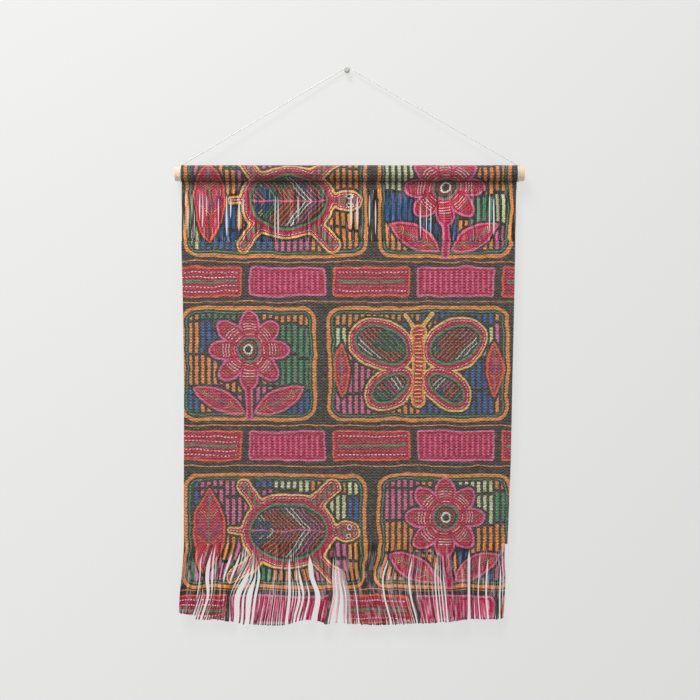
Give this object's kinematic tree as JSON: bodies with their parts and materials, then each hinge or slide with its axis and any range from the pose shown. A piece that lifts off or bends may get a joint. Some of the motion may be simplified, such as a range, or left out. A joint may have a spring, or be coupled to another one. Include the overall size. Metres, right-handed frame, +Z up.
{
  "type": "fringed wall hanging on a wooden dowel",
  "caption": "Printed ribbed cotton wall hanging with a warp fringe, on a round wooden dowel in a sewn pocket, hung by a thin cord over a wall pin.",
  "frame": {"origin": "centre of the pin's flat back, where it meets the wall", "axes": "+Z up, +Y into the wall, so the printed face looks along -Y; +X to the viewer's right"},
  "size_m": [0.626, 0.0315, 1.0003],
  "materials": {
    "printed_cotton": "matt woven cotton, printed in crimson, charcoal, orange, green, blue and pink",
    "warp_fringe": "loose printed cotton yarns with paler undyed patches",
    "softwood": "bare sanded softwood",
    "cream_plastic": "satin cream",
    "white_cord": "thin twisted white cotton cord"
  },
  "bodies": {
    "root": {"panel": "printed_cotton", "fringe": "warp_fringe", "dowel": "softwood", "wall_pin": "cream_plastic", "cord_loop_left": "white_cord", "cord_loop_right": "white_cord", "hanging_cord": "white_cord"}
  },
  "joints": []
}
